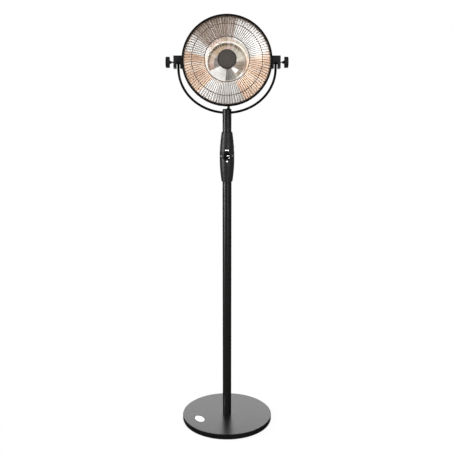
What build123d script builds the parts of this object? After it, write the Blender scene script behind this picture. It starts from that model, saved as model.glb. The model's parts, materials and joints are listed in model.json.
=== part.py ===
from build123d import *
import os
from math import cos, radians, sin, sqrt, tan

os.makedirs("parts", exist_ok=True)

# Free-standing radiant patio heater: a round dish head held in a yoke, on a pole with a heavy round base.
# The origin is the centre of the footprint on the ground, +Z is up, and the dish looks along -Y.
# All lengths are in millimetres and all angles in degrees.

# ---------------------------------------------------------------- driving dimensions

# base
base_radius = 198.0
base_top = 28.0
base_edge = 2.2
base_tuck = 2.5
base_tuck_height = 6.0
pan_wall = 2.0
foot_height = 4.0
foot_radius = 15.0
foot_circle = 172.0
foot_count = 6
ballast_radius = 185.0
ballast_thickness = 14.0
ballast_boss_circle = 120.0
washer_plate_radius = 24.0
badge_length = 60.0
badge_width = 37.0
badge_thickness = 1.0
badge_distance = 134.0
badge_angle = 205.4

# pole and neck, one tube size
tube_radius = 19.0
tube_wall = 1.5
pole_top = 1150.0
neck_bottom = 1236.0
neck_top = 1386.5
inlet_height = 72.0
base_bolt_radius = 3.0
base_bolt_circle = 10.5

# control housing round the joint of the two tubes
housing_bottom = 1091.0
housing_top = 1297.0
housing_end_radius = 22.8
housing_belly = 31.0
lower_seam = 1115.5
upper_seam = 1291.5
housing_wall = 2.5
housing_screw_side = 23.4
housing_screw_heights = (1150.0, 1238.0)

# rotary control
dial_height = 1203.5
dial_boss_radius = 20.6
dial_boss_front = 32.0
dial_radius = 18.2
dial_skirt = 5.5
dial_grip = 8.5
dial_grip_height = 12.0
pointer_length = 12.4
pointer_width = 2.2
pointer_place = (4.4, 1.8)
spindle_radius = 3.0

# head pivot and yoke
pivot_height = 1578.5
head_tilt = 10.0
yoke_half_width = 196.0
yoke_drop = 27.0
yoke_depth = 175.0
yoke_rod_radius = 5.0
eye_radius = 11.0
eye_thickness = 9.6
pin_radius = 3.0
running_clearance = 0.05

# clevis brackets beside the dish, as distances from the middle plane
arm_inner = 110.0
bracket_inner = 180.0
slot_inner = 188.0
slot_outer = 204.0
bracket_outer = 215.0
bracket_height = 50.0
bracket_depth = 44.0
nut_depth = 6.0
nut_flats = 10.0
washer_thickness = 2.9
washer_radius = 7.8

# clamp knobs, as distances from the middle plane
knob_hub_start = 222.0
knob_disc_start = 231.0
knob_disc_end = 247.0
knob_hub_radius = 6.0
knob_radius = 22.2
knob_flutes = 8
knob_flute_radius = 6.0

# dish, as radius and distance forward of the pivot along the dish's own axis
rim_radius = 180.0
rim_bore = 173.6
rim_front = 70.0
rim_back = 47.0
rim_sheet = 1.5
shell_radius = 178.2
shell_wall = 1.6
shell_straight = 36.0
shell_waist = (148.0, -14.0)
shell_back_radius = 72.0
shell_back = -48.0
shell_bore = 14.0
reflector_flange = 50.0
reflector_outer = (171.0, 48.0)
reflector_middle = (131.0, 12.0)
reflector_inner = (84.8, -9.0)
reflector_sheet = 1.0
bowl_bead_radius = 2.4
bowl_bead_place = (82.2, -8.0)
bowl_middle = (70.0, -26.0)
bowl_floor = -40.0
bowl_floor_radius = 42.0

# guard: spokes on a shallow dome with three rings, each ring as radius and place
guard_spokes = 96
spoke_radius = 1.2
guard_inner_ring = (88.0, 98.0)
guard_middle_ring = (139.8, 89.0)
guard_outer_ring = (171.4, 61.0)
inner_ring_wire = 1.7
middle_ring_wire = 1.5
outer_ring_wire = 2.0
clip_count = 4

# heating element on the dish's axis
socket_radius = 20.0
socket_front = -22.0
core_radius = 11.0
core_front = 91.0
coil_radius = 12.6
coil_wire = 1.1
coil_pitch = 6.0
cap_radius = 38.0
cap_back = 95.0
cap_front = 103.0
rod_radius = 2.5

# terminal housing behind the dish
terminal_radius = 56.0
terminal_back = -92.0
terminal_wall = 2.0
terminal_screw_circle = 47.0
terminal_screw_count = 3

# leads
lead_radius = 2.5
lead_side = 6.5
lead_back = 9.6
boot_base_radius = 7.0
boot_tip_radius = 3.6
boot_length = 23.0
head_gland_place = -72.0

pieces = {}


def barrel_radius(z):
    """Outer radius of the control housing at height z: one arc from end to end."""
    half = (housing_top - housing_bottom) / 2
    rise = housing_belly - housing_end_radius
    arc = (half**2 + rise**2) / (2 * rise)
    middle = (housing_top + housing_bottom) / 2
    return housing_belly - arc + sqrt(arc**2 - (z - middle) ** 2)


def arc_radii(points):
    """The largest radius that each corner of a lead's route leaves room for."""
    radii = []
    for before, corner, after in zip(points, points[1:], points[2:]):
        first = Vector(corner) - Vector(before)
        second = Vector(after) - Vector(corner)
        turn = radians(first.get_angle(second))
        radii.append(0.45 * min(first.length, second.length) / tan(turn / 2))
    return radii


# ---------------------------------------------------------------- base

base_seat = base_top - pan_wall

tuck_top = foot_height + base_tuck_height

with BuildPart() as base_cover:
    with BuildSketch(Plane.XZ):
        with BuildLine():
            Polyline(
                (0, base_seat),
                (base_radius - pan_wall, base_seat),
                (base_radius - pan_wall, tuck_top),
                (base_radius - pan_wall - base_tuck, foot_height),
                (base_radius - base_tuck, foot_height),
                (base_radius, tuck_top),
                (base_radius, base_top),
                (0, base_top),
                close=True,
            )
        make_face()
    revolve(axis=Axis.Z)
    fillet(base_cover.edges().group_by(Axis.Z)[-1], radius=base_edge)
    with PolarLocations(base_bolt_circle, 3):
        Hole(base_bolt_radius + 0.3)
pieces["base_cover"] = base_cover

ballast_bottom = base_seat - ballast_thickness
plate_top = foot_height + pan_wall

with BuildPart() as base_ballast:
    with BuildSketch(Plane.XY.offset(ballast_bottom)):
        Circle(ballast_radius)
    extrude(amount=ballast_thickness)
    with BuildSketch(Plane.XY.offset(plate_top)):
        with PolarLocations(ballast_boss_circle, 4, start_angle=45):
            Circle(9)
    extrude(amount=ballast_bottom - plate_top)
    with PolarLocations(base_bolt_circle, 3):
        Hole(base_bolt_radius + 0.3)
    with BuildSketch(Plane.XY.offset(plate_top)):
        with PolarLocations(ballast_boss_circle, 4, start_angle=45):
            Circle(2.05)
    extrude(amount=14, mode=Mode.SUBTRACT)
pieces["base_ballast"] = base_ballast

with BuildPart() as base_bottom_plate:
    with BuildSketch(Plane.XY.offset(foot_height)):
        Circle(base_radius - pan_wall - base_tuck - 0.8)
        Circle(washer_plate_radius + 6, mode=Mode.SUBTRACT)
        with PolarLocations(ballast_boss_circle, 4, start_angle=45):
            Circle(2.3, mode=Mode.SUBTRACT)
    extrude(amount=pan_wall)
pieces["base_bottom_plate"] = base_bottom_plate

with BuildPart() as bottom_plate_screws:
    with BuildSketch(Plane.XY.offset(foot_height - 1.8)):
        with PolarLocations(ballast_boss_circle, 4, start_angle=45):
            Circle(4)
    extrude(amount=1.8)
    with BuildSketch(Plane.XY.offset(foot_height)):
        with PolarLocations(ballast_boss_circle, 4, start_angle=45):
            Circle(2)
    extrude(amount=13)
pieces["bottom_plate_screws"] = bottom_plate_screws

with BuildPart() as base_feet:
    with BuildSketch():
        with PolarLocations(foot_circle, foot_count):
            Circle(foot_radius)
    extrude(amount=foot_height)
    chamfer(base_feet.faces().group_by(Axis.Z)[0].edges(), length=0.8)
pieces["base_feet"] = base_feet

with BuildPart() as clamp_plate:
    with BuildSketch(Plane.XY.offset(ballast_bottom - 3)):
        Circle(washer_plate_radius)
        with PolarLocations(base_bolt_circle, 3):
            Circle(base_bolt_radius + 0.3, mode=Mode.SUBTRACT)
    extrude(amount=3)
pieces["clamp_plate"] = clamp_plate

bolt_seat = ballast_bottom - 3
plug_top = base_top + 22

with BuildPart() as base_bolts:
    with BuildSketch(Plane.XY.offset(bolt_seat - 4)):
        with PolarLocations(base_bolt_circle, 3):
            RegularPolygon(5.5, 6)
    extrude(amount=4)
    with BuildSketch(Plane.XY.offset(bolt_seat)):
        with PolarLocations(base_bolt_circle, 3):
            Circle(base_bolt_radius)
    extrude(amount=plug_top - 4 - bolt_seat)
pieces["base_bolts"] = base_bolts

with BuildPart() as badge:
    with BuildSketch(Plane.XY.offset(base_top)):
        with PolarLocations(badge_distance, 1, start_angle=badge_angle):
            Ellipse(badge_width / 2, badge_length / 2)
    extrude(amount=badge_thickness)
    chamfer(badge.faces().sort_by(Axis.Z)[-1].edges(), length=0.4)
pieces["badge"] = badge

# ---------------------------------------------------------------- pole

tube_bore = tube_radius - tube_wall

with BuildPart() as pole:
    with BuildSketch(Plane.XY.offset(base_top)):
        Circle(tube_radius)
        Circle(tube_bore, mode=Mode.SUBTRACT)
    extrude(amount=pole_top - base_top)
    with BuildSketch(Plane.XZ):
        with Locations((0, inlet_height)):
            Circle(7)
        with Locations((0, pole_top - 20)):
            Circle(2.2)
    extrude(amount=-tube_radius - 1, mode=Mode.SUBTRACT)
pieces["pole"] = pole

with BuildPart() as pole_plug:
    with BuildSketch(Plane.XY.offset(base_top)):
        Circle(tube_bore - 0.1)
        with PolarLocations(base_bolt_circle, 3):
            Circle(base_bolt_radius + 0.05, mode=Mode.SUBTRACT)
    extrude(amount=plug_top - base_top)
pieces["pole_plug"] = pole_plug

with BuildPart() as cable_inlet:
    with BuildSketch(Plane.YZ):
        with BuildLine():
            Polyline(
                (12.0, inlet_height + 3.0),
                (12.0, inlet_height + 6.8),
                (19.2, inlet_height + 6.8),
                (19.2, inlet_height + 10.0),
                (21.4, inlet_height + 9.2),
                (22.6, inlet_height + 6.0),
                (22.6, inlet_height + 3.0),
                close=True,
            )
        make_face()
    revolve(axis=Axis((0, 0, inlet_height), (0, 1, 0)))
pieces["cable_inlet"] = cable_inlet

# ---------------------------------------------------------------- joint of the tubes and what it holds

joiner_bottom = pole_top - 40
joiner_top = neck_bottom + 40
joiner_radius = tube_bore - 0.05
joiner_bore = joiner_radius - 2.2
window_bottom = 1168.0
window_top = 1228.0

with BuildPart() as joiner_tube:
    with BuildSketch(Plane.XY.offset(joiner_bottom)):
        Circle(joiner_radius)
        Circle(joiner_bore, mode=Mode.SUBTRACT)
    extrude(amount=joiner_top - joiner_bottom)
    with BuildSketch(Plane.XZ.offset(3)):
        with Locations((0, (window_bottom + window_top) / 2)):
            Rectangle(2 * tube_radius, window_top - window_bottom)
    extrude(amount=tube_radius, mode=Mode.SUBTRACT)
    with BuildSketch(Plane.XZ):
        with Locations((0, pole_top - 20), (0, neck_bottom + 20)):
            Circle(2.05)
    extrude(amount=-tube_radius, mode=Mode.SUBTRACT)
pieces["joiner_tube"] = joiner_tube

with BuildPart() as joiner_screws:
    with BuildSketch(Plane.XZ.offset(-13)):
        with Locations((0, pole_top - 20), (0, neck_bottom + 20)):
            Circle(2)
    extrude(amount=-6.1)
    with BuildSketch(Plane.XZ.offset(-19.1)):
        with Locations((0, pole_top - 20), (0, neck_bottom + 20)):
            Circle(3.6)
    extrude(amount=-2)
pieces["joiner_screws"] = joiner_screws

with BuildPart() as neck:
    with BuildSketch(Plane.XY.offset(neck_bottom)):
        Circle(tube_radius)
        Circle(tube_bore, mode=Mode.SUBTRACT)
    extrude(amount=neck_top - neck_bottom)
    with BuildSketch(Plane.YZ):
        with Locations((0, pivot_height - yoke_drop - yoke_depth + 0.4)):
            Circle(yoke_rod_radius + 0.6)
    extrude(amount=tube_radius + 1, both=True, mode=Mode.SUBTRACT)
    with BuildSketch(Plane.XZ):
        with Locations((0, neck_bottom + 20), (0, neck_top - 10), (0, neck_top - 27)):
            Circle(2.6)
    extrude(amount=-tube_radius - 1, mode=Mode.SUBTRACT)
pieces["neck"] = neck

with BuildPart() as rotary_switch:
    with BuildSketch(Plane.XZ.offset(5)):
        with Locations((0, dial_height)):
            Rectangle(22, 34)
    extrude(amount=19)
    with BuildSketch(Plane.XZ.offset(24)):
        with Locations((0, dial_height)):
            Circle(5)
    extrude(amount=4)
    with BuildSketch(Plane.XZ.offset(20)):
        with Locations((0, dial_height)):
            Circle(spindle_radius + running_clearance)
    extrude(amount=9, mode=Mode.SUBTRACT)
pieces["rotary_switch"] = rotary_switch

with BuildPart() as tip_over_switch:
    with BuildSketch(Plane.XY.offset(joiner_bottom + 8)):
        with Locations((-6.5, 0)):
            RectangleRounded(11, 13, 1.5)
    extrude(amount=26)
pieces["tip_over_switch"] = tip_over_switch

# ---------------------------------------------------------------- control housing

housing_middle = (housing_bottom + housing_top) / 2


def housing_outline(grow, low, high):
    """The housing's side between two heights, as a closed outline in radius and height."""
    lower = (barrel_radius(low) + grow, low)
    upper = (barrel_radius(high) + grow, high)
    belly = (housing_belly + grow, housing_middle)
    ThreePointArc(lower, belly, upper)
    Polyline(upper, (0, high), (0, low), lower)


bore = tube_radius + 0.15

with BuildPart() as housing_rear:
    with BuildSketch(Plane.XZ):
        with BuildLine():
            housing_outline(0, lower_seam, upper_seam)
        make_face()
    revolve(axis=Axis.Z, revolution_arc=180)
    with BuildSketch(Plane.XZ):
        with BuildLine():
            housing_outline(-housing_wall, lower_seam + housing_wall, upper_seam - housing_wall)
        make_face()
    revolve(axis=Axis.Z, revolution_arc=180, mode=Mode.SUBTRACT)
    with BuildSketch(Plane.XZ):
        for height in housing_screw_heights:
            with Locations((housing_screw_side, height), (-housing_screw_side, height)):
                Circle(3.6)
    extrude(amount=-11)
    with BuildSketch(Plane.XZ):
        for height in housing_screw_heights:
            with Locations((housing_screw_side, height), (-housing_screw_side, height)):
                Circle(1.7)
    extrude(amount=-11, mode=Mode.SUBTRACT)
    with BuildSketch(Plane.XZ.offset(-9)):
        for height in housing_screw_heights:
            with Locations((housing_screw_side, height), (-housing_screw_side, height)):
                Circle(3.15)
    extrude(amount=-20, mode=Mode.SUBTRACT)
    with BuildSketch(Plane.XY.offset(housing_bottom)):
        Circle(bore)
    extrude(amount=housing_top - housing_bottom, mode=Mode.SUBTRACT)
pieces["housing_rear"] = housing_rear

with BuildPart() as housing_front:
    with BuildSketch(Plane.XZ):
        with BuildLine():
            housing_outline(0, lower_seam, upper_seam)
        make_face()
    revolve(axis=Axis.Z, revolution_arc=-180)
    with BuildSketch(Plane.XZ.offset(15)):
        with Locations((0, dial_height)):
            Circle(dial_boss_radius)
    extrude(amount=dial_boss_front - 15)
    chamfer(housing_front.faces().sort_by(Axis.Y)[0].edges(), length=0.8)
    with BuildSketch(Plane.XZ):
        with BuildLine():
            housing_outline(-housing_wall, lower_seam + housing_wall, upper_seam - housing_wall)
        make_face()
    revolve(axis=Axis.Z, revolution_arc=-180, mode=Mode.SUBTRACT)
    with BuildSketch(Plane.XZ):
        for height in housing_screw_heights:
            with Locations((housing_screw_side, height), (-housing_screw_side, height)):
                Circle(3.6)
    extrude(amount=11)
    with BuildSketch(Plane.XZ):
        for height in housing_screw_heights:
            with Locations((housing_screw_side, height), (-housing_screw_side, height)):
                Circle(1.55)
    extrude(amount=9.5, mode=Mode.SUBTRACT)
    with BuildSketch(Plane.XZ.offset(24)):
        with Locations((0, dial_height)):
            Circle(spindle_radius + 0.3)
    extrude(amount=10, mode=Mode.SUBTRACT)
    with BuildSketch(Plane.XY.offset(housing_bottom)):
        Circle(bore)
    extrude(amount=housing_top - housing_bottom, mode=Mode.SUBTRACT)
pieces["housing_front"] = housing_front

with BuildPart() as housing_screws:
    with BuildSketch(Plane.XZ.offset(-9)):
        for height in housing_screw_heights:
            with Locations((housing_screw_side, height), (-housing_screw_side, height)):
                Circle(3)
    extrude(amount=-2.2)
    with BuildSketch(Plane.XZ.offset(8.5)):
        for height in housing_screw_heights:
            with Locations((housing_screw_side, height), (-housing_screw_side, height)):
                Circle(1.5)
    extrude(amount=-17.5)
pieces["housing_screws"] = housing_screws

with BuildPart() as lower_collar:
    with BuildSketch(Plane.XZ):
        with BuildLine():
            low, high = housing_bottom, lower_seam - 0.5
            ThreePointArc(
                (barrel_radius(low), low),
                (barrel_radius((low + high) / 2), (low + high) / 2),
                (barrel_radius(high), high),
            )
            Polyline((barrel_radius(high), high), (bore, high), (bore, low), (barrel_radius(low), low))
        make_face()
    revolve(axis=Axis.Z)
    fillet(lower_collar.edges().sort_by(Axis.Z)[:2].sort_by(SortBy.LENGTH)[-1], radius=1)
pieces["lower_collar"] = lower_collar

with BuildPart() as upper_collar:
    with BuildSketch(Plane.XZ):
        low, high = upper_seam + 0.4, housing_top
        with BuildLine():
            Polyline(
                (barrel_radius(low), low),
                (barrel_radius(high), high),
                (bore, high),
                (bore, low),
                close=True,
            )
        make_face()
    revolve(axis=Axis.Z)
    fillet(upper_collar.edges().sort_by(Axis.Z)[-2:].sort_by(SortBy.LENGTH)[-1], radius=1)
pieces["upper_collar"] = upper_collar

# ---------------------------------------------------------------- rotary control

dial_back = dial_boss_front + 0.4
dial_face = dial_back + dial_skirt
dial_front = dial_face + dial_grip

with BuildPart() as dial:
    with BuildSketch(Plane.XZ.offset(dial_back)):
        with Locations((0, dial_height)):
            Circle(dial_radius)
    extrude(amount=dial_skirt)
    fillet(dial.faces().sort_by(Axis.Y)[0].edges(), radius=3.2)
    with BuildSketch(Plane.XZ.offset(dial_back + 1.5)):
        with Locations((0, dial_height)):
            SlotOverall(2 * dial_radius - 2, dial_grip_height)
    extrude(amount=dial_front - dial_back - 1.5, taper=6)
    fillet(dial.faces().sort_by(Axis.Y)[0].edges(), radius=1.4)
    with BuildSketch(Plane.XZ.offset(dial_front)):
        with Locations((pointer_place[0], dial_height + pointer_place[1])):
            Rectangle(pointer_length, pointer_width)
    extrude(amount=-0.8, mode=Mode.SUBTRACT)
    with BuildSketch(Plane.XZ.offset(dial_back)):
        with Locations((0, dial_height)):
            Circle(spindle_radius + 0.02)
    extrude(amount=9, mode=Mode.SUBTRACT)
pieces["dial"] = dial

with BuildPart() as dial_pointer:
    with BuildSketch(Plane.XZ.offset(dial_front)):
        with Locations((pointer_place[0], dial_height + pointer_place[1])):
            Rectangle(pointer_length, pointer_width)
    extrude(amount=-0.8)
pieces["dial_pointer"] = dial_pointer

with BuildPart() as dial_spindle:
    with BuildSketch(Plane.XZ.offset(20.2)):
        with Locations((0, dial_height)):
            Circle(spindle_radius)
    extrude(amount=dial_back + 8.8 - 20.2)
pieces["dial_spindle"] = dial_spindle

# ---------------------------------------------------------------- yoke and the top of the neck

yoke_bottom = pivot_height - yoke_drop - yoke_depth

with BuildPart() as yoke:
    with BuildLine(Plane.XZ) as yoke_line:
        arm_top = pivot_height - eye_radius + 3
        arm_end = pivot_height - yoke_drop
        Line((-yoke_half_width, arm_top), (-yoke_half_width, arm_end))
        EllipticalCenterArc((0, arm_end), yoke_half_width, yoke_depth, start_angle=180, arc_size=180)
        Line((yoke_half_width, arm_end), (yoke_half_width, arm_top))
    with BuildSketch(Plane(origin=(-yoke_half_width, 0, arm_top), z_dir=(0, 0, -1))):
        Circle(yoke_rod_radius)
    sweep(path=yoke_line.line)
    for side in (-1, 1):
        with BuildSketch(Plane.YZ.offset(side * yoke_half_width - eye_thickness / 2)):
            with Locations((0, pivot_height)):
                Circle(eye_radius)
        extrude(amount=eye_thickness)
        with BuildSketch(Plane.YZ.offset(side * yoke_half_width - eye_thickness / 2)):
            with Locations((0, pivot_height)):
                Circle(pin_radius + running_clearance)
        extrude(amount=eye_thickness, mode=Mode.SUBTRACT)
pieces["yoke"] = yoke

block_bottom = neck_top - 35

with BuildPart() as neck_block:
    with BuildSketch(Plane.XY.offset(block_bottom)):
        Circle(tube_bore - 0.1)
        with Locations((lead_side, lead_back)):
            Circle(lead_radius + 0.4, mode=Mode.SUBTRACT)
    extrude(amount=neck_top - block_bottom)
    with BuildSketch(Plane.YZ):
        with Locations((0, yoke_bottom + 0.4)):
            Circle(yoke_rod_radius + 0.6)
    extrude(amount=tube_radius, both=True, mode=Mode.SUBTRACT)
    with BuildSketch(Plane.XZ):
        with Locations((0, neck_top - 10), (0, neck_top - 27)):
            Circle(2.55)
    extrude(amount=-tube_radius, mode=Mode.SUBTRACT)
pieces["neck_block"] = neck_block

with BuildPart() as neck_screws:
    with BuildSketch(Plane.XZ.offset(-yoke_rod_radius - 0.2)):
        with Locations((0, neck_top - 10), (0, neck_top - 27)):
            Circle(2.5)
    extrude(amount=yoke_rod_radius + 0.2 - tube_radius)
pieces["neck_screws"] = neck_screws

cap_height = 4.5

with BuildPart() as neck_cap:
    with BuildSketch(Plane.XY.offset(neck_top)):
        Circle(tube_radius)
    extrude(amount=cap_height)
    fillet(neck_cap.faces().sort_by(Axis.Z)[-1].edges(), radius=2.4)
    with BuildSketch(Plane.XY.offset(neck_top)):
        with Locations((lead_side, lead_back)):
            Circle(lead_radius + 0.4)
    extrude(amount=cap_height, mode=Mode.SUBTRACT)
pieces["neck_cap"] = neck_cap

boot_bottom = neck_top + cap_height

with BuildPart() as lead_boot:
    with BuildSketch(Plane.XZ.offset(-lead_back)):
        with BuildLine():
            Polyline(
                (lead_side + lead_radius + 0.05, boot_bottom),
                (lead_side + boot_base_radius, boot_bottom),
                (lead_side + boot_base_radius, boot_bottom + 2.5),
                (lead_side + boot_base_radius - 1.2, boot_bottom + 4),
                (lead_side + boot_tip_radius, boot_bottom + boot_length),
                (lead_side + lead_radius + 0.05, boot_bottom + boot_length),
                close=True,
            )
        make_face()
    revolve(axis=Axis((lead_side, lead_back, 0), (0, 0, 1)))
pieces["lead_boot"] = lead_boot

# ---------------------------------------------------------------- planes of the tilted dish

tilt_cos = cos(radians(head_tilt))
tilt_sin = sin(radians(head_tilt))
pivot = (0, 0, pivot_height)
forward = (0, -tilt_cos, tilt_sin)
upward = (0, tilt_sin, tilt_cos)

# across the dish: x to the right, y upward, z forward
head_plane = Plane(origin=pivot, x_dir=(1, 0, 0), z_dir=forward)
# through the dish's axis: x is the radius, y is forward
head_section = Plane(origin=pivot, x_dir=(1, 0, 0), z_dir=(0, -tilt_sin, -tilt_cos))
# beside the dish: x is rearward, y is upward, z points along +X
head_side = Plane(origin=pivot, x_dir=(0, tilt_cos, -tilt_sin), z_dir=(1, 0, 0))
head_axis = Axis(pivot, forward)


def head_point(x, up, ahead):
    """The row's coordinates of a point given across, up and forward in the dish's own frame."""
    y = tilt_sin * up - tilt_cos * ahead
    z = pivot_height + tilt_cos * up + tilt_sin * ahead
    return (x, y, z)


# ---------------------------------------------------------------- dish


def shell_side(shift):
    """The bowl-shaped side of the shell, from the back plate to the straight front wall."""
    ThreePointArc(
        (shell_back_radius + shift / 2, shell_back - shift),
        (shell_waist[0] + 0.75 * shift, shell_waist[1] - 0.7 * shift),
        (shell_radius + shift, shell_straight),
    )


with BuildPart() as head_shell:
    with BuildSketch(head_section):
        with BuildLine():
            shell_side(0)
            Polyline(
                (shell_radius, shell_straight),
                (shell_radius, rim_front - 4),
                (shell_radius - shell_wall, rim_front - 4),
                (shell_radius - shell_wall, shell_straight),
            )
            shell_side(-shell_wall)
            Polyline(
                (shell_back_radius - shell_wall / 2, shell_back + shell_wall),
                (shell_bore, shell_back + shell_wall),
                (shell_bore, shell_back),
                (shell_back_radius, shell_back),
            )
        make_face()
    revolve(axis=head_axis)
    with BuildSketch(head_plane.offset(shell_back)):
        with PolarLocations(terminal_screw_circle, terminal_screw_count, start_angle=90):
            Circle(2.1)
    extrude(amount=shell_wall, mode=Mode.SUBTRACT)
pieces["head_shell"] = head_shell

with BuildPart() as rim_band:
    with BuildSketch(head_section):
        with BuildLine():
            Polyline(
                (rim_radius, rim_back),
                (rim_radius, rim_front),
                (rim_bore, rim_front),
                (rim_bore, reflector_flange),
                (rim_bore + rim_sheet, reflector_flange),
                (rim_bore + rim_sheet, rim_front - rim_sheet),
                (rim_radius - rim_sheet, rim_front - rim_sheet),
                (rim_radius - rim_sheet, rim_back),
                close=True,
            )
        make_face()
    revolve(axis=head_axis)
    front_edges = rim_band.faces().sort_by(head_axis)[-1].edges()
    fillet(front_edges, radius=2.2)
pieces["rim_band"] = rim_band

with BuildPart() as reflector:
    with BuildSketch(head_section):
        with BuildLine():
            flange_outer = shell_radius - shell_wall - 0.4
            ThreePointArc(reflector_outer, reflector_middle, reflector_inner)
            Line(reflector_inner, (reflector_inner[0], reflector_inner[1] - reflector_sheet))
            ThreePointArc(
                (reflector_inner[0], reflector_inner[1] - reflector_sheet),
                (reflector_middle[0] + 0.4, reflector_middle[1] - reflector_sheet),
                (reflector_outer[0] + 0.8, reflector_outer[1] - 0.4),
            )
            Polyline(
                (reflector_outer[0] + 0.8, reflector_outer[1] - 0.4),
                (reflector_outer[0] + 1.6, reflector_flange - reflector_sheet),
                (flange_outer, reflector_flange - reflector_sheet),
                (flange_outer, reflector_flange),
                (reflector_outer[0] + 0.6, reflector_flange),
                reflector_outer,
            )
        make_face()
    revolve(axis=head_axis)
pieces["reflector"] = reflector

bead_r, bead_f = bowl_bead_place
wall_top = bead_r - 1.2

with BuildPart() as inner_bowl:
    with BuildSketch(head_section):
        with BuildLine():
            ThreePointArc((wall_top, bead_f), bowl_middle, (bowl_floor_radius, bowl_floor + 1))
            Polyline(
                (bowl_floor_radius, bowl_floor + 1),
                (socket_radius + 0.4, bowl_floor + 1),
                (socket_radius + 0.4, bowl_floor),
                (bowl_floor_radius + 0.4, bowl_floor),
            )
            ThreePointArc(
                (bowl_floor_radius + 0.4, bowl_floor),
                (bowl_middle[0] + 0.8, bowl_middle[1] - 0.7),
                (wall_top + 1.0, bead_f),
            )
            Line((wall_top + 1.0, bead_f), (wall_top, bead_f))
        make_face()
    revolve(axis=head_axis)
    with BuildSketch(head_section):
        with Locations(bowl_bead_place):
            Circle(bowl_bead_radius)
    revolve(axis=head_axis)
pieces["inner_bowl"] = inner_bowl

# ---------------------------------------------------------------- guard

with BuildPart() as spoke:
    with BuildLine(head_section) as spoke_line:
        ThreePointArc(
            guard_outer_ring,
            (guard_middle_ring[0], guard_middle_ring[1] + 0.8),
            guard_inner_ring,
        )
    with BuildSketch(Plane(origin=spoke_line.line @ 0, z_dir=spoke_line.line % 0)):
        Circle(spoke_radius)
    sweep(path=spoke_line.line)

with BuildPart() as guard:
    with BuildSketch(head_section):
        for ring, wire in (
            (guard_inner_ring, inner_ring_wire),
            (guard_middle_ring, middle_ring_wire),
            (guard_outer_ring, outer_ring_wire),
        ):
            with Locations(ring):
                Circle(wire)
    revolve(axis=head_axis)
    add([spoke.part.rotate(head_axis, 360 * i / guard_spokes) for i in range(guard_spokes)])
pieces["guard"] = guard

with BuildPart() as guard_clips:
    clip_place = guard_outer_ring[1] - outer_ring_wire - 4.2
    with BuildSketch(head_plane.offset(clip_place)):
        with PolarLocations(rim_bore - 2.4, clip_count, start_angle=45):
            RectangleRounded(4.4, 12, 1.5)
    extrude(amount=4)
pieces["guard_clips"] = guard_clips

# ---------------------------------------------------------------- heating element and its cap

with BuildPart() as element_socket:
    with BuildSketch(head_plane.offset(shell_back + shell_wall)):
        Circle(socket_radius)
        Circle(rod_radius + 0.1, mode=Mode.SUBTRACT)
    extrude(amount=socket_front - shell_back - shell_wall)
    chamfer(element_socket.edges().group_by(head_axis)[-1].sort_by(SortBy.LENGTH)[-1], length=2)
pieces["element_socket"] = element_socket

with BuildPart() as element_core:
    with BuildSketch(head_plane.offset(socket_front)):
        Circle(core_radius)
        Circle(rod_radius + 0.1, mode=Mode.SUBTRACT)
    extrude(amount=core_front - socket_front)
pieces["element_core"] = element_core

coil_start = socket_front + 8

with BuildPart() as element_coil:
    with BuildLine() as coil_line:
        Helix(
            pitch=coil_pitch,
            height=core_front - 8 - coil_start,
            radius=coil_radius,
            center=head_point(0, 0, coil_start),
            direction=forward,
        )
    with BuildSketch(Plane(origin=coil_line.line @ 0, z_dir=coil_line.line % 0)):
        Circle(coil_wire)
    sweep(path=coil_line.line, is_frenet=True)
pieces["element_coil"] = element_coil

with BuildPart() as element_rod:
    with BuildSketch(head_plane.offset(shell_back - 8)):
        Circle(rod_radius)
    extrude(amount=cap_back + 5 - shell_back + 8)
pieces["element_rod"] = element_rod

with BuildPart() as rod_nut:
    with BuildSketch(head_plane.offset(shell_back - 5)):
        Circle(18)
        Circle(rod_radius + 0.05, mode=Mode.SUBTRACT)
    extrude(amount=5)
    with BuildSketch(head_plane.offset(shell_back - 5)):
        RegularPolygon(5, 6)
        Circle(rod_radius + 0.05, mode=Mode.SUBTRACT)
    extrude(amount=-3)
    with BuildSketch(head_plane.offset(shell_back - 5)):
        Circle(18)
        Circle(9, mode=Mode.SUBTRACT)
    extrude(amount=3.4, mode=Mode.SUBTRACT)
pieces["rod_nut"] = rod_nut

with BuildPart() as front_cap:
    with BuildSketch(head_plane.offset(cap_back)):
        Circle(cap_radius)
    extrude(amount=cap_front - cap_back)
    chamfer(front_cap.edges().group_by(head_axis)[-1], length=3, length2=2)
    with BuildSketch(head_plane.offset(cap_back)):
        Circle(rod_radius + 0.05)
    extrude(amount=5.2, mode=Mode.SUBTRACT)
pieces["front_cap"] = front_cap

# ---------------------------------------------------------------- brackets, clamps and knobs

nut_start = slot_inner - nut_depth
eye_gap = (slot_outer - slot_inner - eye_thickness) / 2 - washer_thickness

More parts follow.
